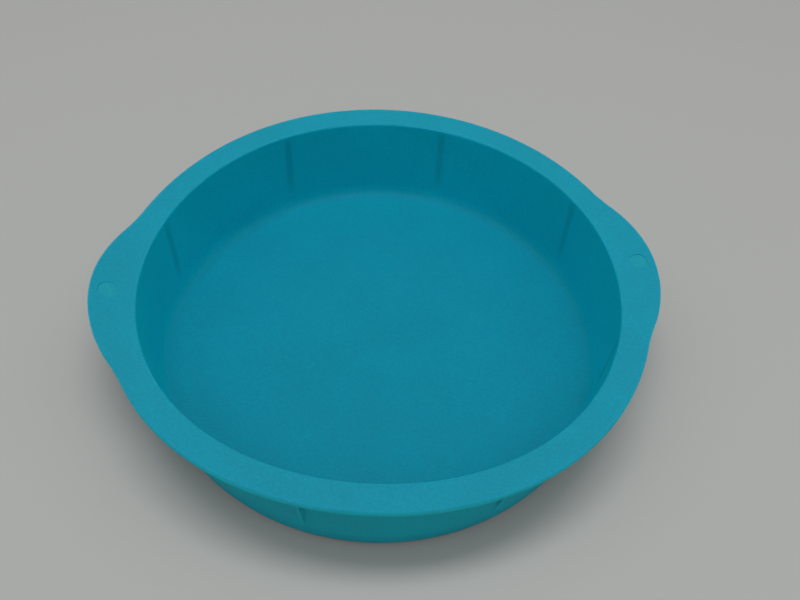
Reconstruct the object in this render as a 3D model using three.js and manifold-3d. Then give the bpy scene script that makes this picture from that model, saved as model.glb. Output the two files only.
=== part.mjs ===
// A round silicone cake pan with a flat rim that widens into two handles.
// The silicone is one moulding. A closed loop of steel wire lies inside the rim and stiffens it,
// and a round silicone plug closes the place on each handle where the mould held the wire.
//
// Millimetres, +Z up. The origin is the centre of the base, on the surface the pan stands on.
// The handles point along +X and -X.
import * as THREE from "three";
import { mergeVertices } from "three/addons/utils/BufferGeometryUtils.js";
import Module from "manifold-3d";

// Bowl
const MOUTH_RADIUS = 120; // inside of the wall, at the height of the rim's top
const PAN_HEIGHT = 58;
const WALL = 1.5;
const WALL_DRAFT = THREE.MathUtils.degToRad(1.5);
const FLOOR = 1.8;
const INNER_CORNER = 5;
const OUTER_CORNER = 6.5;

// Rim and handles
const RIM_WIDTH = 14.3; // from the mouth to the rim's outer edge
const RIM_THICKNESS = 3.4;
const RIM_EDGE = 0.8; // rounding of the outer edge, above and below
const MOUTH_EDGE = 0.8; // rounding of the rim's inner edge
const UNDER_RIM_FILLET = 2.5;
const HANDLE_REACH = 7.6; // how far a handle stands out past the rim's edge
const HANDLE_RADIUS = 76; // the handle's round end, seen from above
const HANDLE_BLEND = 95; // the hollow curve between a handle and the rim

// Ribs under the rim, on the outside of the wall
const RIB_COUNT = 8;
const RIB_THICKNESS = 1.6;
const RIB_DEPTH = 8; // how far a rib stands out from the wall, under the rim
const RIB_FOOT = 12; // height above the base where a rib runs out

// Wire in the rim, and the plugs over it
const WIRE_DIAMETER = 1.6;
const WIRE_INSET = 8.4; // from the outer edge to the wire's middle, round the rim and the handles alike
const PLUG_SEAT_DIAMETER = 8.8;
const PLUG_EDGE = 0.25;
const PLUG_DISH = 0.15; // depth of the hollow in the plug's face
const BOND_GAP = 0.3; // room left between touching pieces

// Fineness of the faceted surfaces
const TURN_SEGMENTS = 96;
const ARC_ERROR = 0.06; // how far a flat facet may leave its arc
const RIB_EDGE_SEGMENTS = 2;
const WIRE_SIDES = 8;
const PLUG_SIDES = 32;

// Places that follow from the sizes above
const RIM_RADIUS = MOUTH_RADIUS + RIM_WIDTH;
const RIM_UNDERSIDE = PAN_HEIGHT - RIM_THICKNESS;
const WIRE_HEIGHT = PAN_HEIGHT - RIM_THICKNESS / 2;
const PLUG_CENTRE = RIM_RADIUS + HANDLE_REACH - WIRE_INSET; // over the wire, at the handle's tip

const SILICONE = { color: 0x1b93ae, roughness: 0.62, metalness: 0 };
const STEEL = { color: 0xb9bdc1, roughness: 0.35, metalness: 1 };

const wasm = await Module();
wasm.setup();

// A surface as a solid that can be joined to others and cut.
function solidOf(geometry) {
  const bare = geometry.clone();
  bare.deleteAttribute("normal");
  bare.deleteAttribute("uv");
  const merged = mergeVertices(bare, 1e-4);
  return new wasm.Manifold(
    new wasm.Mesh({
      numProp: 3,
      vertProperties: merged.attributes.position.array,
      triVerts: new Uint32Array(merged.index.array),
    }),
  );
}

// A solid as a surface again, with flat facets.
function geometryOf(solid) {
  const mesh = solid.getMesh();
  const indexed = new THREE.BufferGeometry();
  indexed.setAttribute("position", new THREE.BufferAttribute(mesh.vertProperties, mesh.numProp));
  indexed.setIndex(new THREE.BufferAttribute(mesh.triVerts, 1));
  const flat = indexed.toNonIndexed();
  flat.computeVertexNormals();
  return flat;
}

// A closed half section, given as radius and height, turned about the pan's axis.
function turned(section, segments) {
  return new THREE.LatheGeometry(section, segments).rotateX(Math.PI / 2);
}

// Points along an arc of a section, close enough together to keep within the arc error.
function arc(x, y, radius, from, to) {
  const step = 2 * Math.acos(1 - ARC_ERROR / radius);
  const curve = new THREE.EllipseCurve(x, y, radius, radius, from, to, to < from);
  return curve.getPoints(Math.ceil(Math.abs(to - from) / step));
}

// Radius of the wall's inside and outside at a height.
function wallInside(height) {
  return MOUTH_RADIUS - (PAN_HEIGHT - height) * Math.tan(WALL_DRAFT);
}

function wallOutside(height) {
  return wallInside(height) + WALL / Math.cos(WALL_DRAFT);
}

// The distance from the pan's axis to the rim's outline in one direction, with the outline drawn in
// by an inset. A handle is a round end that meets the rim's circle in a hollow curve. All three are
// arcs, and an inset changes their radii and leaves their centres where they are.
function outlineRadius(angle, inset) {
  const fromHandleAxis = Math.acos(Math.abs(Math.cos(angle)));
  const endCentre = RIM_RADIUS + HANDLE_REACH - HANDLE_RADIUS;
  const blendFromAxis = RIM_RADIUS + HANDLE_BLEND;
  const blendFromEnd = HANDLE_RADIUS + HANDLE_BLEND;
  const blend = new THREE.Vector2();
  blend.x = (blendFromAxis ** 2 - blendFromEnd ** 2 + endCentre ** 2) / (2 * endCentre);
  blend.y = Math.sqrt(blendFromAxis ** 2 - blend.x ** 2);

  const rim = RIM_RADIUS - inset;
  const end = HANDLE_RADIUS - inset;
  const hollow = HANDLE_BLEND + inset;
  const endAngle = Math.atan2(blend.y, blend.x - endCentre);
  const endMeetsBlend = Math.atan2(end * Math.sin(endAngle), endCentre + end * Math.cos(endAngle));
  if (fromHandleAxis >= blend.angle()) {
    return rim;
  }
  if (fromHandleAxis <= endMeetsBlend) {
    const along = endCentre * Math.cos(fromHandleAxis);
    return along + Math.sqrt(along ** 2 - endCentre ** 2 + end ** 2);
  }
  const along = blend.x * Math.cos(fromHandleAxis) + blend.y * Math.sin(fromHandleAxis);
  return along - Math.sqrt(along ** 2 - blend.lengthSq() + hollow ** 2);
}

// The bowl and its rim as one half section, from the axis below the floor round to the axis above it.
function panSection() {
  const right = Math.PI / 2;
  const lean = WALL_DRAFT;
  const across = 1 / Math.cos(lean);
  const outerCornerX = wallOutside(OUTER_CORNER) - OUTER_CORNER * across;
  const filletHeight = RIM_UNDERSIDE - UNDER_RIM_FILLET;
  const filletX = wallOutside(filletHeight) + UNDER_RIM_FILLET * across;
  const edgeX = RIM_RADIUS - RIM_EDGE;
  const mouthHeight = PAN_HEIGHT - MOUTH_EDGE;
  const mouthX = wallInside(mouthHeight) + MOUTH_EDGE * across;
  const innerCornerHeight = FLOOR + INNER_CORNER;
  const innerCornerX = wallInside(innerCornerHeight) - INNER_CORNER * across;
  return [
    new THREE.Vector2(0, 0),
    ...arc(outerCornerX, OUTER_CORNER, OUTER_CORNER, -right, -lean),
    ...arc(filletX, filletHeight, UNDER_RIM_FILLET, Math.PI - lean, right),
    ...arc(edgeX, RIM_UNDERSIDE + RIM_EDGE, RIM_EDGE, -right, 0),
    ...arc(edgeX, PAN_HEIGHT - RIM_EDGE, RIM_EDGE, 0, right),
    ...arc(mouthX, mouthHeight, MOUTH_EDGE, right, Math.PI - lean),
    ...arc(innerCornerX, innerCornerHeight, INNER_CORNER, -lean, -right),
    new THREE.Vector2(0, FLOOR),
  ];
}

// The turned pan with its rim's edge drawn out to the handles.
function bowlWithHandles() {
  const geometry = turned(panSection(), TURN_SEGMENTS);
  const position = geometry.attributes.position;
  const edgeStart = RIM_RADIUS - 1.01 * RIM_EDGE;
  const point = new THREE.Vector3();
  for (let i = 0; i < position.count; i++) {
    point.fromBufferAttribute(position, i);
    const radius = Math.hypot(point.x, point.y);
    if (radius < edgeStart) continue;
    const angle = Math.atan2(point.y, point.x);
    const drawn = (radius + outlineRadius(angle, 0) - RIM_RADIUS) / radius;
    position.setXYZ(i, point.x * drawn, point.y * drawn, point.z);
  }
  return geometry;
}

// A rib is a thin fin with a rounded edge, deepest under the rim and running out down the wall.
function rib(azimuth) {
  const half = RIB_THICKNESS / 2;
  const root = -WALL / 2; // buried in the wall
  const top = RIM_UNDERSIDE + RIM_THICKNESS / 4; // buried in the rim
  const plan = new THREE.Shape();
  plan.moveTo(root, -half);
  plan.absarc(RIB_DEPTH - half, 0, half, -Math.PI / 2, Math.PI / 2);
  plan.lineTo(root, half);
  const fin = new THREE.ExtrudeGeometry(plan, {
    depth: top - RIB_FOOT,
    bevelEnabled: false,
    curveSegments: RIB_EDGE_SEGMENTS,
  });
  const shareAtFoot = -root / 2 / (RIB_DEPTH - root); // the edge runs into the wall here
  const position = fin.attributes.position;
  for (let i = 0; i < position.count; i++) {
    const height = RIB_FOOT + position.getZ(i);
    const share = THREE.MathUtils.mapLinear(height, RIB_FOOT, RIM_UNDERSIDE, shareAtFoot, 1);
    const reach = root + (position.getX(i) - root) * share;
    position.setXYZ(i, wallOutside(height) + reach, position.getY(i), height);
  }
  return fin.rotateZ(azimuth);
}

// The loop that the wire follows, round the rim and out round each handle.
function wireLoop() {
  const points = [];
  for (let i = 0; i < TURN_SEGMENTS; i++) {
    const angle = (2 * Math.PI * i) / TURN_SEGMENTS;
    const radius = outlineRadius(angle, WIRE_INSET);
    points.push(new THREE.Vector3(radius * Math.cos(angle), radius * Math.sin(angle), WIRE_HEIGHT));
  }
  return new THREE.CatmullRomCurve3(points, true);
}

function tubeOnLoop(radius) {
  return new THREE.TubeGeometry(wireLoop(), TURN_SEGMENTS, radius, WIRE_SIDES, true);
}

// The round seat in a handle's top face, down to the top of the wire.
function plugSeat(side) {
  const bottom = WIRE_HEIGHT + WIRE_DIAMETER / 2;
  const depth = 2 * (PAN_HEIGHT - bottom); // runs past the handle's face
  const radius = PLUG_SEAT_DIAMETER / 2;
  return new THREE.CylinderGeometry(radius, radius, depth, PLUG_SIDES)
    .rotateX(Math.PI / 2)
    .translate(side * PLUG_CENTRE, 0, bottom + depth / 2);
}

function siliconePan() {
  let pan = solidOf(bowlWithHandles());
  for (let i = 0; i < RIB_COUNT; i++) {
    const azimuth = (2 * Math.PI * (i + 0.5)) / RIB_COUNT;
    pan = pan.add(solidOf(rib(azimuth)));
  }
  pan = pan.subtract(solidOf(tubeOnLoop(WIRE_DIAMETER / 2 + BOND_GAP)));
  for (const side of [1, -1]) {
    pan = pan.subtract(solidOf(plugSeat(side)));
  }
  return geometryOf(pan);
}

// A plug is a thin disc with a rounded edge and a slightly hollow face, flush with the handle.
function handlePlug() {
  const radius = PLUG_SEAT_DIAMETER / 2 - BOND_GAP;
  const bottom = WIRE_HEIGHT + WIRE_DIAMETER / 2 + BOND_GAP;
  const section = [
    new THREE.Vector2(0, bottom),
    new THREE.Vector2(radius, bottom),
    ...arc(radius - PLUG_EDGE, PAN_HEIGHT - PLUG_EDGE, PLUG_EDGE, 0, Math.PI / 2),
    new THREE.Vector2(0, PAN_HEIGHT - PLUG_DISH),
  ];
  return turned(section, PLUG_SIDES);
}

function piece(name, geometry, finish) {
  const mesh = new THREE.Mesh(geometry, new THREE.MeshStandardMaterial(finish));
  mesh.name = name;
  return mesh;
}

const cakePan = new THREE.Group();
cakePan.add(piece("silicone_pan", siliconePan(), SILICONE));
cakePan.add(piece("rim_wire", tubeOnLoop(WIRE_DIAMETER / 2), STEEL));
for (const [name, side] of [["right_handle_plug", 1], ["left_handle_plug", -1]]) {
  const plug = piece(name, handlePlug(), SILICONE);
  plug.position.x = side * PLUG_CENTRE;
  cakePan.add(plug);
}

export default cakePan;
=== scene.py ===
"""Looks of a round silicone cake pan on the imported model's frame.

The pan is one soft moulding with a wire in its rim. Every length is in metres.
"""

import logging
import math
from dataclasses import dataclass, fields
from enum import Enum
from typing import Any, Optional, Union

import bpy
from mathutils import Matrix, Vector


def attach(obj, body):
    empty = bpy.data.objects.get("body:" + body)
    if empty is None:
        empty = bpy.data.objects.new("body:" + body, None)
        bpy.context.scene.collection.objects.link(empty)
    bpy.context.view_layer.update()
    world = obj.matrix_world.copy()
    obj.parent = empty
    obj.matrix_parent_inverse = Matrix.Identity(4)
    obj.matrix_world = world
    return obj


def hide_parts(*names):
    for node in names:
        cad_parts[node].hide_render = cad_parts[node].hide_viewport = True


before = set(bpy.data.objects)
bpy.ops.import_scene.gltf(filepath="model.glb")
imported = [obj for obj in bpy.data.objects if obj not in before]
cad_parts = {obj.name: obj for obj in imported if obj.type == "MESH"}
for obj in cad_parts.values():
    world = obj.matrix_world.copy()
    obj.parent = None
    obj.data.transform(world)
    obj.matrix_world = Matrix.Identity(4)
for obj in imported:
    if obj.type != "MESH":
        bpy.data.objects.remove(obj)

LOG = logging.getLogger("cake_pan")
IMAGE_WIDTH = 800
MM = 0.001
RIGHT_ANGLE = math.pi / 2

# Points nearer than this are one point, at a seam or a pole and along a cut
SEAM = 0.001 * MM
CUT_SEAM = 0.002 * MM

Color = tuple[float, float, float, float]
Point = tuple[float, float]
Range = tuple[float, float]
Term = Union["Value", float]


class Value:
    """One output of a node, which can be used in sums."""

    def __init__(self, nodes: "Nodes", socket: Optional[bpy.types.NodeSocket]) -> None:
        """Keeps the output and the tree that it belongs to."""
        self.nodes = nodes
        self.socket = socket

    def math(self, operation: str, *terms: Term) -> "Value":
        """Adds a Math node that takes this first and then the given terms."""
        return self.nodes.math(operation, self, *terms)

    def other(self, name: str) -> "Value":
        """Gives another output of the same node."""
        return Value(self.nodes, self.socket.node.outputs[name])

    def __add__(self, term: Term) -> "Value":
        """Adds a term."""
        return self.math("ADD", term)

    def __sub__(self, term: Term) -> "Value":
        """Takes a term away."""
        return self.math("SUBTRACT", term)

    def __rsub__(self, term: Term) -> "Value":
        """Takes this away from a number."""
        return self.nodes.math("SUBTRACT", term, self)

    def __mul__(self, term: Term) -> "Value":
        """Multiplies by a term."""
        return self.math("MULTIPLY", term)

    def __truediv__(self, term: Term) -> "Value":
        """Divides by a term."""
        return self.math("DIVIDE", term)

    def __rtruediv__(self, term: Term) -> "Value":
        """Divides a number by this."""
        return self.nodes.math("DIVIDE", term, self)

    def __mod__(self, term: Term) -> "Value":
        """Gives what is left over after division by a term."""
        return self.math("FLOORED_MODULO", term)

    def __abs__(self) -> "Value":
        """Drops the sign."""
        return self.math("ABSOLUTE")

    def __lt__(self, term: Term) -> "Value":
        """Gives 1 where this is less than a term, and 0 elsewhere."""
        return self.math("LESS_THAN", term)

    def __gt__(self, term: Term) -> "Value":
        """Gives 1 where this is more than a term, and 0 elsewhere."""
        return self.math("GREATER_THAN", term)

    # Sums and products are the same in either order
    __radd__ = __add__
    __rmul__ = __mul__

    def square(self) -> "Value":
        """Multiplies this by itself."""
        return self * self

    def root(self) -> "Value":
        """Takes the square root."""
        return self.math("SQRT")

    def sine(self) -> "Value":
        """Takes the sine of an angle."""
        return self.math("SINE")

    def cosine(self) -> "Value":
        """Takes the cosine of an angle."""
        return self.math("COSINE")

    def smooth(self, low: Term, high: Term) -> "Value":
        """Rises smoothly from 0 at low to 1 at high, and is level outside them."""
        return self.nodes.add(
            "ShaderNodeMapRange",
            {"interpolation_type": "SMOOTHSTEP"},
            {"Value": self, "From Min": low, "From Max": high},
        )


class Nodes:
    """A node tree that is filled from Python."""

    def __init__(self, tree: bpy.types.NodeTree) -> None:
        """Keeps the tree."""
        self.tree = tree

    def add(
        self,
        kind: str,
        settings: dict[str, Any],
        inputs: dict[Union[str, int], Any],
        output: Union[str, int] = 0,
    ) -> Value:
        """Adds one node.

        Args:
            kind: The node's type.
            settings: Properties of the node, set before its sockets.
            inputs: The value or link of each socket, or a list for a socket that takes several.
            output: The output to give back.

        Returns:
            The chosen output.
        """
        node = self.tree.nodes.new(kind)
        for name, setting in settings.items():
            setattr(node, name, setting)
        for key, given in inputs.items():
            for term in given if isinstance(given, list) else [given]:
                if isinstance(term, Value):
                    self.tree.links.new(term.socket, node.inputs[key])
                else:
                    node.inputs[key].default_value = term
        return Value(self, node.outputs[output] if node.outputs else None)

    def math(self, operation: str, *terms: Term) -> Value:
        """Adds a Math node that works on the given terms."""
        return self.add("ShaderNodeMath", {"operation": operation}, dict(enumerate(terms)))

    def blend(self, share: Term, low: Any, high: Any) -> Value:
        """Adds a Mix node that goes from one colour to another."""
        # The node's sockets share their names, so the ones for colours are told by number
        inputs = {0: share, 6: low, 7: high}
        return self.add("ShaderNodeMix", {"data_type": "RGBA"}, inputs, 2)


def fresh_nodes(owner: Union[bpy.types.Material, bpy.types.World]) -> Nodes:
    """Empties the node tree of a material or of the world.

    Args:
        owner: The material or the world.

    Returns:
        Its tree, with no nodes in it.
    """
    owner.use_nodes = True
    owner.node_tree.nodes.clear()
    return Nodes(owner.node_tree)


class GeometryTree(Nodes):
    """A Geometry Nodes tree with a named input for each size that it uses."""

    def __init__(self, name: str, *groups: Any) -> None:
        """Makes an empty tree.

        Args:
            name: The tree's name.
            groups: Dataclasses that hold the sizes.
        """
        super().__init__(bpy.data.node_groups.new(name, "GeometryNodeTree"))
        for way in ("INPUT", "OUTPUT"):
            self.tree.interface.new_socket(
                "Geometry", in_out=way, socket_type="NodeSocketGeometry"
            )
        self.sizes = {
            entry.name.replace("_", " ").title(): getattr(group, entry.name)
            for group in groups
            for entry in fields(group)
        }
        self.identifiers: dict[str, str] = {}
        self.given = self.add("NodeGroupInput", {}, {})

    def size(self, label: str) -> Value:
        """Gives a named input, which is added when it is first asked for.

        Args:
            label: The size's name in words.

        Returns:
            The input.
        """
        if label not in self.identifiers:
            kind = "NodeSocketInt" if isinstance(self.sizes[label], int) else "NodeSocketFloat"
            socket = self.tree.interface.new_socket(label, in_out="INPUT", socket_type=kind)
            self.identifiers[label] = socket.identifier
        return self.given.other(label)

    def attribute(self, name: str) -> Value:
        """Reads a number that is stored on the points."""
        return self.add("GeometryNodeInputNamedAttribute", {}, {"Name": name})

    def store(self, geometry: Value, name: str, number: Term) -> Value:
        """Stores a number on the points."""
        inputs = {"Geometry": geometry, "Name": name, "Value": number}
        return self.add("GeometryNodeStoreNamedAttribute", {}, inputs)

    def merge(self, geometry: Value, distance: float) -> Value:
        """Joins points that lie together."""
        inputs = {"Geometry": geometry, "Distance": distance}
        return self.add("GeometryNodeMergeByDistance", {}, inputs)

    def place(self, geometry: Value, x: Term, y: Term, z: Term) -> Value:
        """Moves the points to new places."""
        position = self.add("ShaderNodeCombineXYZ", {}, {0: x, 1: y, 2: z})
        return self.add(
            "GeometryNodeSetPosition", {}, {"Geometry": geometry, "Position": position}
        )

    def where(self) -> tuple[Value, Value, Value]:
        """Finds the points.

        Returns:
            The three coordinates of each point.
        """
        position = self.add("GeometryNodeInputPosition", {}, {})
        x = self.add("ShaderNodeSeparateXYZ", {}, {0: position})
        return x, x.other("Y"), x.other("Z")

    def turn(self, columns: Value) -> Value:
        """Sweeps the incoming section once round, and numbers the columns of points.

        Args:
            columns: The number of columns round the turn.

        Returns:
            The swept mesh, whose points still have to be placed.
        """
        rail = self.add("GeometryNodeCurvePrimitiveCircle", {}, {"Resolution": columns})
        rail = self.store(rail, "column", self.add("GeometryNodeInputIndex", {}, {}))
        section = self.add("GeometryNodeMeshToCurve", {}, {"Mesh": self.given})
        swept = self.add(
            "GeometryNodeCurveToMesh", {}, {"Curve": rail, "Profile Curve": section}
        )
        return self.add("GeometryNodeFlipFaces", {}, {"Mesh": swept})

    def close(self, geometry: Value, material: bpy.types.Material, crease: float) -> None:
        """Shades the result smoothly up to a crease angle, dresses it and ends the tree.

        Args:
            geometry: The finished shape.
            material: The finish that it gets.
            crease: The angle between faces past which an edge stays sharp.
        """
        smooth = self.add("GeometryNodeSetShadeSmooth", {}, {"Geometry": geometry})
        angle = self.add("GeometryNodeInputMeshEdgeAngle", {}, {})
        creased = self.add(
            "GeometryNodeSetShadeSmooth",
            {"domain": "EDGE"},
            {"Geometry": smooth, "Selection": angle > crease, "Shade Smooth": False},
        )
        real = self.add("GeometryNodeRealizeInstances", {}, {"Geometry": creased})
        dressed = self.add(
            "GeometryNodeSetMaterial", {}, {"Geometry": real, "Material": material}
        )
        self.add("NodeGroupOutput", {}, {0: dressed})

    def run(self, name: str, start: bpy.types.Mesh) -> bpy.types.Object:
        """Runs the tree on a start mesh and keeps the result as a plain mesh.

        Args:
            name: The name of the piece.
            start: The mesh that the tree begins from.

        Returns:
            The piece, with no modifier left on it.
        """
        piece = bpy.data.objects.new(name, start)
        bpy.context.scene.collection.objects.link(piece)
        modifier = piece.modifiers.new(self.tree.name, "NODES")
        modifier.node_group = self.tree
        for label, identifier in self.identifiers.items():
            modifier[identifier] = self.sizes[label]
        graph = bpy.context.evaluated_depsgraph_get()
        made = bpy.data.meshes.new_from_object(piece.evaluated_get(graph))
        piece.modifiers.remove(modifier)
        piece.data = made
        made.name = name
        bpy.data.meshes.remove(start)
        return piece


def ramp(number: float, ends: Range) -> float:
    """Rises evenly from 0 at the first end to 1 at the other, and is level outside them."""
    return min(1.0, max(0.0, (number - ends[0]) / (ends[1] - ends[0])))


def arc(centre: Point, radius: float, start: float, end: float, steps: int) -> list[Point]:
    """Draws an arc of a section.

    Args:
        centre: The arc's centre.
        radius: The arc's radius.
        start: The angle where it starts.
        end: The angle where it ends.
        steps: The number of straight steps.

    Returns:
        The points from start to end.
    """
    angles = [start + (end - start) * i / steps for i in range(steps + 1)]
    return [(centre[0] + radius * math.cos(a), centre[1] + radius * math.sin(a)) for a in angles]


def filled(points: list[Point], spacing: float) -> list[Point]:
    """Adds points along the straight stretches of a section.

    Args:
        points: The section's corners and arcs.
        spacing: The widest gap that is left.

    Returns:
        The section with its gaps filled evenly.
    """
    rounding = 1e-6
    made = [points[0]]
    for before, after in zip(points, points[1:]):
        steps = max(1, math.ceil(math.dist(before, after) / spacing - rounding))
        for i in range(1, steps + 1):
            made.append(tuple(b + (a - b) * i / steps for b, a in zip(before, after)))
    return made


def section_mesh(points: list[Point], numbers: dict[str, list[float]]) -> bpy.types.Mesh:
    """Makes the line of points that a tree turns into a solid.

    Args:
        points: The half section, from the axis round to the axis.
        numbers: What else is stored on each point, by name.

    Returns:
        The line as a mesh of edges.
    """
    mesh = bpy.data.meshes.new("section")
    edges = [(i, i + 1) for i in range(len(points) - 1)]
    mesh.from_pydata([(radius, height, 0) for radius, height in points], edges, [])
    numbers = {
        "section_radius": [radius for radius, _ in points],
        "section_height": [height for _, height in points],
        **numbers,
    }
    for label, values in numbers.items():
        mesh.attributes.new(label, "FLOAT", "POINT").data.foreach_set("value", values)
    return mesh


@dataclass(frozen=True)
class RimOutline:
    """The rim seen from above: a circle, with a round end for each handle and a hollow blend."""

    pan_height: float = 58 * MM
    mouth_radius: float = 120 * MM
    rim_width: float = 14.3 * MM
    rim_thickness: float = 3.4 * MM
    handle_reach: float = 7.6 * MM
    handle_radius: float = 76 * MM
    handle_blend: float = 95 * MM

    @property
    def rim_radius(self) -> float:
        """The rim's outer radius away from the handles."""
        return self.mouth_radius + self.rim_width

    @property
    def tip(self) -> float:
        """How far a handle's tip is from the pan's axis."""
        return self.rim_radius + self.handle_reach

    def radius(self, tree: GeometryTree, angle: Value, inset: Term) -> Value:
        """Works out how far the outline is from the axis.

        Args:
            tree: The tree to work in.
            angle: The direction from the axis.
            inset: How far the outline is drawn in.

        Returns:
            The distance in that direction.
        """
        # The round end's centre is on the long axis, and the blend touches the end and the rim
        rim = tree.size("Mouth Radius") + tree.size("Rim Width")
        end = tree.size("Handle Radius")
        blend = tree.size("Handle Blend")
        centre = rim + tree.size("Handle Reach") - end
        from_axis = (rim + blend).square()
        blend_x = (from_axis - (end + blend).square() + centre.square()) / (2 * centre)
        blend_y = (from_axis - blend_x.square()).root()
        turn = abs(angle.cosine()).math("ARCCOSINE")

        # The arcs meet in line with their centres, however far they are drawn in
        round_end = end - inset
        hollow = blend + inset
        facing = blend_y.math("ARCTAN2", blend_x - centre)
        end_y = round_end * facing.sine()
        meets_end = end_y.math("ARCTAN2", centre + round_end * facing.cosine())
        meets_rim = blend_y.math("ARCTAN2", blend_x)

        # How far away the round end and the blend are in this direction
        along_end = centre * turn.cosine()
        on_end = along_end + (along_end.square() - centre.square() + round_end.square()).root()
        along_blend = blend_x * turn.cosine() + blend_y * turn.sine()
        past_blend = along_blend.square() - blend_x.square() - blend_y.square()
        on_blend = along_blend - (past_blend + hollow.square()).root()
        is_end = turn < meets_end
        is_rim = turn > meets_rim
        return is_end * on_end + is_rim * (rim - inset) + (1 - is_end - is_rim) * on_blend

    def loop(self, tree: GeometryTree, points: Value, inset: Value, height: Value) -> Value:
        """Draws a closed curve that follows the outline.

        Args:
            tree: The tree to work in.
            points: The number of points on the curve.
            inset: How far the curve lies inside the outline.
            height: The curve's height above the base.

        Returns:
            The curve.
        """
        ring = tree.add("GeometryNodeCurvePrimitiveCircle", {}, {"Resolution": points})
        x, y, _ = tree.where()
        angle = y.math("ARCTAN2", x)
        reach = self.radius(tree, angle, inset)
        return tree.place(ring, reach * angle.cosine(), reach * angle.sine(), height)


@dataclass(frozen=True)
class RelaxedRim:
    """How the soft rim settles out of round. It fades down the wall to nothing at the base."""

    oval_out: float = 1.91 * MM
    oval_out_at: float = math.radians(-1.5)
    lobes_out: float = 1.91 * MM
    lobes_out_at: float = math.radians(-40.3)
    oval_up: float = 0.59 * MM
    oval_up_at: float = math.radians(-19.5)
    lobes_up: float = 1.09 * MM
    lobes_up_at: float = math.radians(16.1)
    right_lift: float = 1.8 * MM
    left_lift: float = 5.4 * MM
    lift_angle: float = math.radians(30)
    lift_power: float = 1.5

    def waves(self, tree: GeometryTree, angle: Value, way: str) -> Value:
        """Adds up the two waves round the rim, one with two crests and one with three.

        Args:
            tree: The tree to work in.
            angle: The direction from the axis.
            way: Which way the rim moves, Out or Up.

        Returns:
            How far the rim moves.
        """
        oval = 2 * (angle - tree.size(f"Oval {way} At"))
        lobes = 3 * (angle - tree.size(f"Lobes {way} At"))
        return (
            tree.size(f"Oval {way}") * oval.cosine()
            + tree.size(f"Lobes {way}") * lobes.cosine()
        )

    def settle(self, tree: GeometryTree, geometry: Value) -> Value:
        """Moves a finished shape as the soft rim carries it.

        Args:
            tree: The tree to work in, which has the rim outline's sizes too.
            geometry: The shape as moulded.

        Returns:
            The shape as it rests.
        """
        x, y, z = tree.where()
        angle = y.math("ARCTAN2", x)
        share = z / tree.size("Pan Height")
        mouth = tree.size("Mouth Radius")
        rim = mouth + tree.size("Rim Width")
        stretch = 1 + share * self.waves(tree, angle, "Out") / rim
        past_mouth = ((x.square() + y.square()).root() - mouth).math("MAXIMUM", 0.0)
        overhang = past_mouth / (tree.size("Rim Width") + tree.size("Handle Reach"))
        turn = abs(angle.cosine()).math("ARCCOSINE")
        near = 1 - turn.smooth(0.0, tree.size("Lift Angle"))
        lift = tree.size("Left Lift") * (x < 0.0) + tree.size("Right Lift") * (x > 0.0)
        curl = overhang.math("POWER", tree.size("Lift Power"))
        rise = share * self.waves(tree, angle, "Up") + lift * near * curl
        return tree.place(geometry, x * stretch, y * stretch, z + rise)


@dataclass(frozen=True)
class Grain:
    """An uneven pattern that is fixed to a piece and varies about one half."""

    scale: float
    detail: float
    spread: float = 0.2

    def pattern(self, nodes: Nodes) -> Value:
        """Makes the pattern as it is.

        Args:
            nodes: The material's nodes.

        Returns:
            The pattern.
        """
        where = nodes.add("ShaderNodeTexCoord", {}, {}, "Object")
        inputs = {"Vector": where, "Scale": self.scale, "Detail": self.detail}
        return nodes.add("ShaderNodeTexNoise", {}, inputs)

    def patches(self, pattern: Value) -> Value:
        """Sharpens the pattern into light and dark patches."""
        return pattern.smooth(0.5 - self.spread, 0.5 + self.spread)


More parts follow.
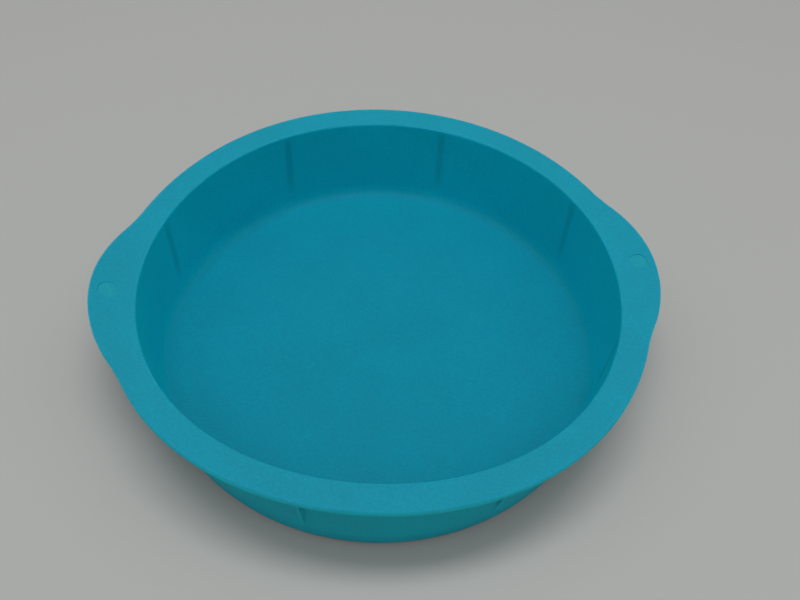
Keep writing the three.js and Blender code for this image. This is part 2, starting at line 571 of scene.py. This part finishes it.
@dataclass(frozen=True)
class SiliconeFinish:
    """Satin, fine-frosted silicone with painted light on the walls and painted shade on the floor
    and ribs.
    """

    color: Color = (0.0075, 0.2815, 0.3875, 1)
    # Painted shade: the floor inside the bowl is darker than the body colour
    floor_color: Color = (0.001, 0.25, 0.353, 1)
    # Painted light: the inner wall and its corner are lighter than the body colour
    inner_color: Color = (0.0, 0.44, 0.575, 1)
    # Painted light: the outer wall and the rim's outer edge are lighter than the body colour
    outer_color: Color = (0.008, 0.46, 0.564, 1)
    # Painted shadow: a darker line on the inner wall along each rib
    rib_color: Color = (0.0, 0.355, 0.47, 1)
    scatter: tuple[float, float, float] = (0.3, 1.0, 1.1)
    scatter_scale: float = 1.5 * MM
    scatter_share: float = 1.0
    refraction: float = 1.41
    specular: float = 0.12
    roughness: float = 0.65
    cloud: Grain = Grain(28.0, 3.0, 0.15)
    cloud_depth: float = 0.04
    cloud_roughness: float = 0.08
    frost: Grain = Grain(900.0, 2.0)
    frost_depth: float = 0.12
    frost_roughness: float = 0.12
    ripple: Grain = Grain(90.0, 1.0)
    ripple_share: float = 2.5
    bump_strength: float = 0.35
    bump_depth: float = 0.06 * MM

    def material(self) -> bpy.types.Material:
        """Builds the material.

        Returns:
            The material.
        """
        made = bpy.data.materials.new("silicone")
        nodes = fresh_nodes(made)
        frost = self.frost.pattern(nodes)
        cloud = self.cloud.patches(self.cloud.pattern(nodes)) - 0.5
        # The painted shade of the floor and ribs and the painted light of the walls, each mixed in
        # by its share
        tints = {
            "floor_shade": self.floor_color,
            "inner_glow": self.inner_color,
            "outer_glow": self.outer_color,
            "rib_shade": self.rib_color,
        }
        body = self.color
        for name, tint in tints.items():
            share = nodes.add("ShaderNodeAttribute", {"attribute_name": name}, {}, "Fac")
            body = nodes.blend(share, body, tint)
        speckle = self.frost_depth * (self.frost.patches(frost) - 0.5)
        uneven = 1 + speckle + self.cloud_depth * cloud
        body = nodes.add(
            "ShaderNodeVectorMath", {"operation": "SCALE"}, {"Vector": body, "Scale": uneven}
        )
        relief = frost + self.ripple_share * self.ripple.pattern(nodes)
        bump = nodes.add(
            "ShaderNodeBump",
            {},
            {"Strength": self.bump_strength, "Distance": self.bump_depth, "Height": relief},
        )
        dulled = self.frost_roughness * (frost - 0.5) + self.cloud_roughness * cloud
        skin = nodes.add(
            "ShaderNodeBsdfPrincipled",
            {},
            {
                "Base Color": body,
                "Roughness": self.roughness + dulled,
                "IOR": self.refraction,
                "Subsurface Weight": self.scatter_share,
                "Subsurface Radius": self.scatter,
                "Subsurface Scale": self.scatter_scale,
                "Specular IOR Level": self.specular,
                "Normal": bump,
            },
        )
        nodes.add("ShaderNodeOutputMaterial", {}, {"Surface": skin})
        return made


@dataclass(frozen=True)
class SteelFinish:
    """Drawn stainless wire with fine uneven sheen."""

    color: Color = (0.48, 0.5, 0.52, 1)
    dull_color: Color = (0.36, 0.375, 0.39, 1)
    roughness: float = 0.3
    grain: Grain = Grain(900.0, 4.0)
    grain_roughness: float = 0.2
    bump_strength: float = 0.2
    bump_depth: float = 0.02 * MM

    def material(self) -> bpy.types.Material:
        """Builds the material.

        Returns:
            The material.
        """
        made = bpy.data.materials.new("steel")
        nodes = fresh_nodes(made)
        grain = self.grain.pattern(nodes)
        bump = nodes.add(
            "ShaderNodeBump",
            {},
            {"Strength": self.bump_strength, "Distance": self.bump_depth, "Height": grain},
        )
        metal = nodes.add(
            "ShaderNodeBsdfPrincipled",
            {},
            {
                "Base Color": nodes.blend(self.grain.patches(grain), self.dull_color, self.color),
                "Metallic": 1.0,
                "Roughness": self.roughness + self.grain_roughness * (grain - 0.5),
                "Normal": bump,
            },
        )
        nodes.add("ShaderNodeOutputMaterial", {}, {"Surface": metal})
        return made


@dataclass(frozen=True)
class RimWire:
    """The closed loop of steel wire inside the rim."""

    outline: RimOutline
    relaxed: RelaxedRim
    finish: SteelFinish = SteelFinish()
    wire_diameter: float = 1.6 * MM
    wire_inset: float = 8.4 * MM
    bond_gap: float = 0.3 * MM
    loop_points: int = 288
    wire_sides: int = 16
    wire_crease: float = math.radians(60)

    @property
    def tip(self) -> float:
        """How far the wire is from the pan's axis at a handle."""
        return self.outline.tip - self.wire_inset

    @property
    def top(self) -> float:
        """The height of the wire's upper side."""
        return self.outline.pan_height - (self.outline.rim_thickness - self.wire_diameter) / 2

    def tube(self, tree: GeometryTree, radius: Term) -> Value:
        """Sweeps a round tube along the wire's loop, in the middle of the rim's thickness.

        Args:
            tree: The tree to work in.
            radius: The tube's radius.

        Returns:
            The tube.
        """
        height = tree.size("Pan Height") - tree.size("Rim Thickness") / 2
        loop = self.outline.loop(tree, tree.size("Loop Points"), tree.size("Wire Inset"), height)
        ring = tree.add(
            "GeometryNodeCurvePrimitiveCircle",
            {},
            {"Resolution": tree.size("Wire Sides"), "Radius": radius},
        )
        return tree.add("GeometryNodeCurveToMesh", {}, {"Curve": loop, "Profile Curve": ring})

    def build(self) -> bpy.types.Object:
        """Makes the wire and dresses it.

        Returns:
            The finished piece.
        """
        tree = GeometryTree("rim_wire_shape", self, self.outline, self.relaxed)
        tube = self.relaxed.settle(tree, self.tube(tree, tree.size("Wire Diameter") / 2))
        tree.close(tube, self.finish.material(), self.wire_crease)
        return tree.run("wire_loop", bpy.data.meshes.new("start"))


class Side(Enum):
    """The two ends of the pan's long axis."""

    LEFT = -1
    RIGHT = 1


@dataclass(frozen=True)
class HandlePlug:
    """The round plug over the wire in one handle's top face."""

    wire: RimWire
    finish: SiliconeFinish = SiliconeFinish(color=(0.0105, 0.278, 0.36, 1), scatter_share=0.0)
    seat_diameter: float = 8.8 * MM
    seat_spare: float = 0.2 * MM
    seat_sides: int = 96
    plug_gap: float = 0.04 * MM
    plug_sink: float = 0.3 * MM
    plug_crown: float = 0.15 * MM
    crown_steps: int = 8
    plug_rows: float = 0.6 * MM
    plug_columns: int = 64
    plug_crease: float = math.radians(50)

    def section(self) -> list[Point]:
        """Draws the plug's half section, from its underside up to its low round crown.

        Returns:
            The points, close enough together to bend smoothly.
        """
        radius = self.seat_diameter / 2 - self.plug_gap
        bottom = self.wire.top + self.wire.bond_gap
        edge = self.wire.outline.pan_height - self.plug_sink
        face = []
        for i in range(self.crown_steps + 1):
            share = i / self.crown_steps
            face.append((radius * (1 - share), edge + self.plug_crown * share * (2 - share)))
        return filled([(0.0, bottom), (radius, bottom), *face], self.plug_rows)

    def seat(self, tree: GeometryTree, side: Side) -> Value:
        """Makes the solid that cuts the plug's seat out of a handle.

        Args:
            tree: The tree to work in.
            side: The handle.

        Returns:
            A round rod that reaches down past the top of the wire.
        """
        top = self.wire.outline.pan_height
        depth = top - self.wire.top + self.seat_spare
        rod = tree.add(
            "GeometryNodeMeshCylinder",
            {"fill_type": "TRIANGLE_FAN"},
            {
                "Vertices": tree.size("Seat Sides"),
                "Radius": tree.size("Seat Diameter") / 2,
                "Depth": 2 * depth,
            },
        )
        place = (side.value * self.wire.tip, 0.0, top)
        return tree.add("GeometryNodeTransform", {}, {"Geometry": rod, "Translation": place})

    def build(self, side: Side) -> bpy.types.Object:
        """Makes one plug and dresses it.

        Args:
            side: The handle that it closes.

        Returns:
            The finished piece.
        """
        wire = self.wire
        name = f"{side.name.lower()}_plug"
        tree = GeometryTree(name + "_shape", self, wire, wire.outline, wire.relaxed)
        disc = tree.turn(tree.size("Plug Columns"))
        angle = tree.attribute("column") * (2 * math.pi) / tree.size("Plug Columns")
        radius = tree.attribute("section_radius")
        disc = tree.place(
            disc,
            side.value * wire.tip + radius * angle.cosine(),
            radius * angle.sine(),
            tree.attribute("section_height"),
        )
        disc = wire.relaxed.settle(tree, tree.merge(disc, SEAM))
        tree.close(disc, self.finish.material(), self.plug_crease)
        return tree.run(name, section_mesh(self.section(), {}))


@dataclass(frozen=True)
class SiliconePan:
    """The moulding: floor, wall, rim with two handles, and ribs under the rim."""

    wire: RimWire
    plug: HandlePlug
    finish: SiliconeFinish = SiliconeFinish()

    # The bowl and the rim's section
    wall: float = 1.5 * MM
    draft: float = math.radians(1.5)
    floor: float = 1.8 * MM
    inner_corner: float = 5 * MM
    outer_corner: float = 6.5 * MM
    rim_edge: float = 0.8 * MM
    mouth_edge: float = 0.8 * MM
    rim_fillet: float = 2.5 * MM
    lip: float = 2 * MM
    round_margin: float = 1.5 * MM

    # The ribs
    rib_count: int = 8
    rib_half: float = 0.85 * MM
    rib_depth: float = 8 * MM
    rib_foot: float = 12 * MM
    rib_sharpness: float = 12000.0

    # Where the painted light and shade of the finish begin and end, as heights, depths and
    # distances
    rib_line: Range = (0.5 * MM, 3.4 * MM)
    line_rises: Range = (10 * MM, 24 * MM)
    line_ends: Range = (1 * MM, 3 * MM)
    edge_ends: Range = (0.2 * MM, 0.8 * MM)
    outer_rises: Range = (1 * MM, 14 * MM)
    outer_share: float = 0.56
    glow_fade: float = 3 * MM

    # The fineness of the mesh
    outer_steps: int = 8
    inner_steps: int = 7
    fillet_steps: int = 6
    edge_steps: int = 5
    floor_rows: float = 14 * MM
    wall_rows: float = 4 * MM
    rim_rows: float = 1 * MM
    columns_per_rib: int = 96
    crowding: float = 0.2
    pan_crease: float = math.radians(35)

    @property
    def outline(self) -> RimOutline:
        """The rim's outline."""
        return self.wire.outline

    @property
    def wall_start(self) -> float:
        """The height where the inner corner ends and the straight wall starts."""
        return self.floor + self.inner_corner

    @property
    def underside(self) -> float:
        """The height of the rim's underside."""
        return self.outline.pan_height - self.outline.rim_thickness

    @property
    def foot(self) -> Point:
        """Where a rib runs out down the wall."""
        return self.outside(self.rib_foot), self.rib_foot

    @property
    def head(self) -> Point:
        """Where a rib's edge meets the rim's underside."""
        return self.outside(self.underside) + self.rib_depth, self.underside

    def inside(self, height: float) -> float:
        """The radius of the wall's inside at a height."""
        return self.outline.mouth_radius - (self.outline.pan_height - height) * math.tan(self.draft)

    def outside(self, height: float) -> float:
        """The radius of the wall's outside at a height."""
        return self.inside(height) + self.wall / math.cos(self.draft)

    def section(self) -> list[Point]:
        """Draws the half section, from the axis below the floor round to the axis above it.

        Returns:
            The points, close enough together to bend smoothly.
        """
        lean = self.draft
        across = 1 / math.cos(lean)
        top = self.outline.pan_height

        # The centres of the rounded corners, and a point on the wall just below the mouth
        outer = (self.outside(self.outer_corner) - self.outer_corner * across, self.outer_corner)
        fillet_height = self.underside - self.rim_fillet
        fillet = (self.outside(fillet_height) + self.rim_fillet * across, fillet_height)
        edge = self.outline.rim_radius - self.rim_edge
        below = (edge, self.underside + self.rim_edge)
        above = (edge, top - self.rim_edge)
        mouth_height = top - self.mouth_edge
        mouth = (self.inside(mouth_height) + self.mouth_edge * across, mouth_height)
        lip = (self.inside(top - self.lip), top - self.lip)
        inner = (self.inside(self.wall_start) - self.inner_corner * across, self.wall_start)

        # The rounded corners, from the base up the outside, over the rim and down the inside
        to_wall = arc(outer, self.outer_corner, -RIGHT_ANGLE, -lean, self.outer_steps)
        to_rim = arc(fillet, self.rim_fillet, math.pi - lean, RIGHT_ANGLE, self.fillet_steps)
        up_edge = arc(below, self.rim_edge, -RIGHT_ANGLE, 0, self.edge_steps)
        over_edge = arc(above, self.rim_edge, 0, RIGHT_ANGLE, self.edge_steps)
        to_mouth = arc(mouth, self.mouth_edge, RIGHT_ANGLE, math.pi - lean, self.edge_steps)
        to_floor = arc(inner, self.inner_corner, -lean, -RIGHT_ANGLE, self.inner_steps)

        # The stretches between them, each with its widest gap
        stretches = [
            (to_wall, self.floor_rows),
            ([self.foot, *to_rim, self.head, *up_edge, *over_edge], self.wall_rows),
            (to_mouth, self.rim_rows),
            ([lip, *to_floor], self.wall_rows),
            ([(0.0, self.floor)], self.floor_rows),
        ]
        points = [(0.0, 0.0)]
        for stretch, rows in stretches:
            points += filled([points[-1], *stretch], rows)[1:]
        return points

    def section_numbers(self, points: list[Point]) -> dict[str, list[float]]:
        """Works out what the tree and the finish need to know at each point of the section.

        Args:
            points: The section.

        Returns:
            Where the point goes on a rib's edge, how far it follows the handles' outline, how
            strongly a rib's painted shadow line shows there, and the share of each painted light
            and shade.
        """
        top = self.outline.pan_height
        edge = self.outline.rim_radius - self.rim_edge
        heights = [height for _, height in points]
        foot = points.index(self.foot)
        head = points.index(self.head)
        mouth = max(i for i, height in enumerate(heights) if math.isclose(height, top))
        inner_heights = list(enumerate(heights))[mouth + 1:]
        corner = min(i for i, height in inner_heights if height < self.wall_start)
        length = [0.0]
        for before, after in zip(points, points[1:]):
            length.append(length[-1] + math.dist(before, after))

        numbers: dict[str, list[float]] = {}
        for i, (radius, height) in enumerate(points):
            on_rib = (radius, height)
            if foot <= i <= head:
                share = (length[i] - length[foot]) / (length[head] - length[foot])
                on_rib = tuple(f + (h - f) * share for f, h in zip(self.foot, self.head))
            below_rim = i <= head
            inner = i > mouth
            round_to = self.head[0] if below_rim else self.outline.mouth_radius + self.round_margin
            # How far up the inner wall each rib's painted shadow line reaches
            line = ramp(height, self.line_rises) * ramp(top - height, self.line_ends)
            past_wall = max(0.0, length[i] - length[corner])
            under_top = ramp(top - height, self.edge_ends)
            # Painted light on the inner wall, faded out at the mouth and past the inner corner
            inner_glow = under_top * math.exp(-past_wall / self.glow_fade)
            # Painted light on the outer wall, rising from the base, and on the rim's outer edge
            # face
            above_base = ramp(height, self.outer_rises) if i < foot else 1.0
            outer_glow = self.outer_share * above_base if below_rim else under_top
            row = {
                "rib_radius": on_rib[0],
                "rib_height": on_rib[1],
                "edge_share": ramp(radius, (round_to, edge)),
                "backing": line if inner else 0.0,
                # Painted shade on the floor inside the bowl, past the inner corner
                "floor_shade": 1.0 if inner and past_wall > 0 else 0.0,
                "inner_glow": inner_glow if inner else 0.0,
                "outer_glow": outer_glow if i < mouth else 0.0,
            }
            for name, number in row.items():
                numbers.setdefault(name, []).append(number)
        return numbers

    def build(self) -> bpy.types.Object:
        """Makes the moulding and dresses it.

        Returns:
            The finished piece.
        """
        wire = self.wire
        tree = GeometryTree(
            "silicone_pan_shape", self, self.plug, wire, wire.outline, wire.relaxed
        )
        per_rib = tree.size("Columns Per Rib")
        shell = tree.turn(tree.size("Rib Count") * per_rib)

        # Columns crowd together at each rib
        column = tree.attribute("column")
        sector = (2 * math.pi) / tree.size("Rib Count")
        rib_angle = sector * ((column / per_rib).math("FLOOR") + 0.5)
        across = 2 * (column % per_rib) / per_rib - 1
        crowding = tree.size("Crowding")
        offset = sector / 2 * (crowding * across + (1 - crowding) * across * across.square())
        angle = rib_angle + offset

        # A rib lifts the wall's outside to its own edge
        radius = tree.attribute("section_radius")
        height = tree.attribute("section_height")
        aside = abs(offset) * tree.size("Mouth Radius")
        slope = tree.size("Rib Sharpness") * (aside - tree.size("Rib Half"))
        lifted = 1 / (1 + slope.math("EXPONENT"))
        stands_out = lifted * (tree.attribute("rib_radius") - radius)
        rises = lifted * (tree.attribute("rib_height") - height)

        # The rim's edge follows the outline of the handles
        rim = tree.size("Mouth Radius") + tree.size("Rim Width")
        drawn_out = self.outline.radius(tree, angle, 0.0) - rim
        reach = radius + tree.attribute("edge_share") * drawn_out
        shell = tree.place(
            shell,
            reach * angle.cosine() + stands_out * rib_angle.cosine(),
            reach * angle.sine() + stands_out * rib_angle.sine(),
            height + rises,
        )
        # A painted shadow line on the wall's inside along each rib
        shade = tree.attribute("backing") * (1 - aside.smooth(*self.rib_line))
        shell = tree.merge(tree.store(shell, "rib_shade", shade), SEAM)

        # The wire's channel and the seats of the plugs are cut out
        cutters = [wire.tube(tree, tree.size("Wire Diameter") / 2 + tree.size("Bond Gap"))]
        cutters += [self.plug.seat(tree, side) for side in Side]
        shell = tree.add(
            "GeometryNodeMeshBoolean",
            {"operation": "DIFFERENCE", "solver": "MANIFOLD"},
            {
                "Mesh 1": wire.relaxed.settle(tree, shell),
                "Mesh 2": [wire.relaxed.settle(tree, cutter) for cutter in cutters],
            },
        )
        tree.close(tree.merge(shell, CUT_SEAM), self.finish.material(), self.pan_crease)
        points = self.section()
        return tree.run("pan_moulding", section_mesh(points, self.section_numbers(points)))


@dataclass(frozen=True)
class SoftLamp:
    """A soft lamp that points at the pan."""

    name: str
    place: tuple[float, float, float]
    width: float
    depth: float
    power: float

    def hang(self) -> None:
        """Makes the lamp."""
        lamp = bpy.data.lights.new(self.name, "AREA")
        lamp.shape = "ELLIPSE"
        lamp.size = self.width
        lamp.size_y = self.depth
        lamp.energy = self.power
        holder = bpy.data.objects.new(self.name, lamp)
        holder.location = self.place
        holder.rotation_euler = Vector(self.place).to_track_quat("Z", "Y").to_euler()
        bpy.context.scene.collection.objects.link(holder)


@dataclass(frozen=True)
class Studio:
    """A plain pale floor, soft light from above, and the camera of the picture."""

    floor_size: float = 12.0
    floor_fade: Range = (0.6, 1.6)
    floor_color: Color = (0.4, 0.405, 0.39, 1)
    floor_roughness: float = 0.9
    floor_specular: float = 0.1
    sky_color: Color = (1, 1, 1, 1)
    sky_strength: float = 0.25
    sky_shown: Color = (0.377, 0.381, 0.361, 1)
    lamps: tuple[SoftLamp, ...] = (
        SoftLamp("ceiling_lamp", (0.0, 0.0, 2.1), 1.4, 0.5, 19.5),
        SoftLamp("front_lamp", (0.0, -0.99, 1.85), 1.3, 1.3, 9.0),
        SoftLamp("left_lamp", (-0.99, 0.0, 1.85), 1.3, 1.3, 4.2),
        SoftLamp("right_lamp", (0.99, 0.0, 1.85), 1.3, 1.3, 4.2),
    )
    distance: float = 465.4 * MM
    aim_height: float = RimOutline.pan_height
    elevation: float = math.radians(49.696)
    turn: float = math.radians(-6.2918)
    yaw: float = math.radians(1.1986)
    pitch: float = math.radians(-1.4097)
    roll: float = math.radians(1.7085)
    focal_pixels: float = 911.18
    sensor_width: float = 36.0

    def seen(self, nodes: Nodes) -> Value:
        """Tells what is seen, straight or mirrored or through something, from what only lights."""
        path = nodes.add("ShaderNodeLightPath", {}, {}, "Is Camera Ray")
        return path + path.other("Is Glossy Ray") + path.other("Is Transmission Ray")

    def lay_floor(self) -> None:
        """Makes the floor, which fades into the sky with distance."""
        half = self.floor_size / 2
        mesh = bpy.data.meshes.new("floor")
        corners = [(-half, -half, 0), (half, -half, 0), (half, half, 0), (-half, half, 0)]
        mesh.from_pydata(corners, [], [(0, 1, 2, 3)])
        floor = bpy.data.objects.new("floor", mesh)
        bpy.context.scene.collection.objects.link(floor)
        made = bpy.data.materials.new("floor_paper")
        nodes = fresh_nodes(made)
        paper = nodes.add(
            "ShaderNodeBsdfPrincipled",
            {},
            {
                "Base Color": self.floor_color,
                "Roughness": self.floor_roughness,
                "Specular IOR Level": self.floor_specular,
            },
        )
        shown = nodes.add("ShaderNodeEmission", {}, {"Color": self.sky_shown})
        where = nodes.add("ShaderNodeTexCoord", {}, {}, "Object")
        away = nodes.add("ShaderNodeVectorMath", {"operation": "LENGTH"}, {0: where}, "Value")
        far = away.smooth(*self.floor_fade) * self.seen(nodes)
        mixed = nodes.add("ShaderNodeMixShader", {}, {0: far, 1: paper, 2: shown})
        nodes.add("ShaderNodeOutputMaterial", {}, {"Surface": mixed})
        mesh.materials.append(made)

    def light(self) -> None:
        """Makes the even light of the room and hangs the soft lamps."""
        world = bpy.data.worlds.new("room")
        nodes = fresh_nodes(world)
        lights = nodes.add(
            "ShaderNodeBackground", {}, {"Color": self.sky_color, "Strength": self.sky_strength}
        )
        shown = nodes.add("ShaderNodeBackground", {}, {"Color": self.sky_shown})
        mixed = nodes.add("ShaderNodeMixShader", {}, {0: self.seen(nodes), 1: lights, 2: shown})
        nodes.add("ShaderNodeOutputWorld", {}, {"Surface": mixed})
        bpy.context.scene.world = world
        for lamp in self.lamps:
            lamp.hang()

    def aim_camera(self) -> None:
        """Puts the camera where the picture was taken from."""
        lens = bpy.data.cameras.new("camera")
        lens.sensor_width = self.sensor_width
        lens.lens = self.focal_pixels / IMAGE_WIDTH * self.sensor_width
        camera = bpy.data.objects.new("camera", lens)
        facing = Matrix.Rotation(self.turn, 4, "Z")
        facing = facing @ Matrix.Rotation(RIGHT_ANGLE - self.elevation, 4, "X")
        stand = facing @ Matrix.Translation((0, 0, self.distance))
        look = Matrix.Rotation(-self.yaw, 4, "Y")
        look = look @ Matrix.Rotation(self.pitch, 4, "X")
        look = look @ Matrix.Rotation(self.roll, 4, "Z")
        camera.matrix_world = Matrix.Translation((0, 0, self.aim_height)) @ stand @ look
        bpy.context.scene.collection.objects.link(camera)
        bpy.context.scene.camera = camera

    def build(self) -> None:
        """Sets the whole studio up."""
        self.lay_floor()
        self.light()
        self.aim_camera()
        bpy.context.scene.view_settings.view_transform = "Standard"


def fit(piece: bpy.types.Object, node: str) -> None:
    """Puts a finished piece in the place of its node.

    Args:
        piece: The finished piece.
        node: The node that it stands for.
    """
    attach(piece, "root")
    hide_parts(node)
    LOG.info("%s stands for %s with %d faces", piece.name, node, len(piece.data.polygons))


def main() -> None:
    """Builds the pan and its studio, and logs the faces of each piece."""
    logging.basicConfig(level=logging.INFO, format="%(name)s: %(message)s")
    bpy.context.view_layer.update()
    Studio().build()
    wire = RimWire(RimOutline(), RelaxedRim())
    plug = HandlePlug(wire)
    fit(SiliconePan(wire, plug).build(), "silicone_pan")
    for side in Side:
        fit(plug.build(side), f"{side.name.lower()}_handle_plug")
    fit(wire.build(), "rim_wire")


if __name__ == "__main__":
    main()
